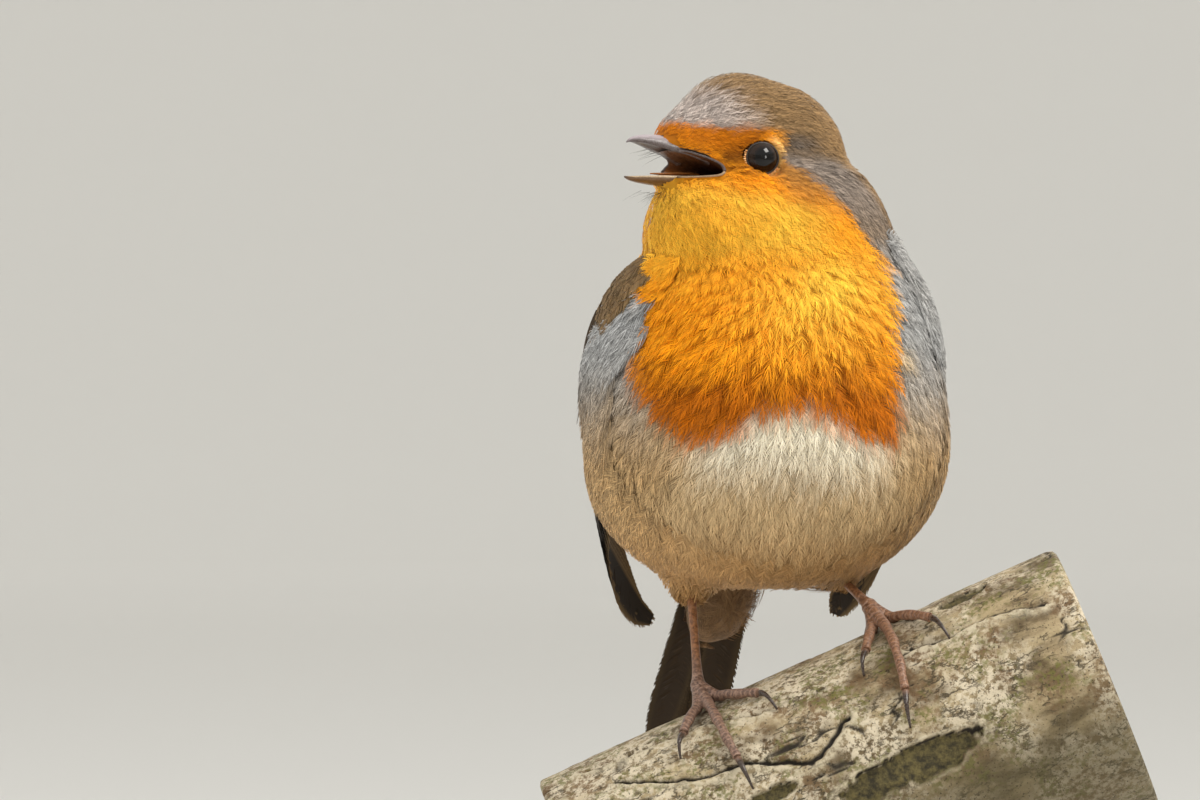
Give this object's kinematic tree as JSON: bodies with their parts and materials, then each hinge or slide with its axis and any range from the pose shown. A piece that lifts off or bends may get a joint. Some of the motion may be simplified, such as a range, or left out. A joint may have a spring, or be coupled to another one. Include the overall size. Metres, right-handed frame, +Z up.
{
  "type": "robin",
  "caption": "Life-size robin singing with open bill, gripping a short sloping branch that two rods hold over a round display base.",
  "frame": {"origin": "middle of the display base's flat underside", "axes": "+Z up; +X towards the end of the branch that rises, on the viewer's right; -Y towards the viewer the breast faces"},
  "size_m": [0.109, 0.1177, 0.1683],
  "materials": {
    "face feathers": "short close orange plumage",
    "breast feathers": "soft orange plumage",
    "body feathers": "fluffed plumage, orange, grey and off-white by region",
    "belly feathers": "loose off-white down",
    "wing coverts": "brown overlapping vanes",
    "flight feathers": "dark brown vanes",
    "bill": "satin horn",
    "mouth": "moist lining",
    "eye": "wet gloss",
    "leg scales": "small dry scales",
    "claws": "satin horn",
    "bark": "rough lichened bark, sawn ends",
    "stand steel": "brushed",
    "stand wood": "dark stain, satin"
  },
  "bodies": {
    "root": {"head": "face feathers", "neck": "breast feathers", "trunk": "body feathers", "tail_coverts": "belly feathers", "bill_upper": "bill", "bill_lower": "bill", "tongue": "mouth", "eye_left": "eye", "eye_right": "eye", "wing_left": "wing coverts", "wing_right": "wing coverts", "primaries_left": "flight feathers", "primaries_right": "flight feathers", "tail": "flight feathers", "thigh_left": "belly feathers", "thigh_right": "belly feathers", "tarsus_left": "leg scales", "tarsus_right": "leg scales", "foot_left": "leg scales", "foot_right": "leg scales", "perch": "bark", "stand_rod_1": "stand steel", "stand_rod_2": "stand steel", "stand_base": "stand wood", "claw_left_1": "claws", "claw_left_2": "claws", "claw_left_3": "claws", "claw_left_4": "claws", "claw_right_1": "claws", "claw_right_2": "claws", "claw_right_3": "claws", "claw_right_4": "claws"}
  },
  "joints": []
}
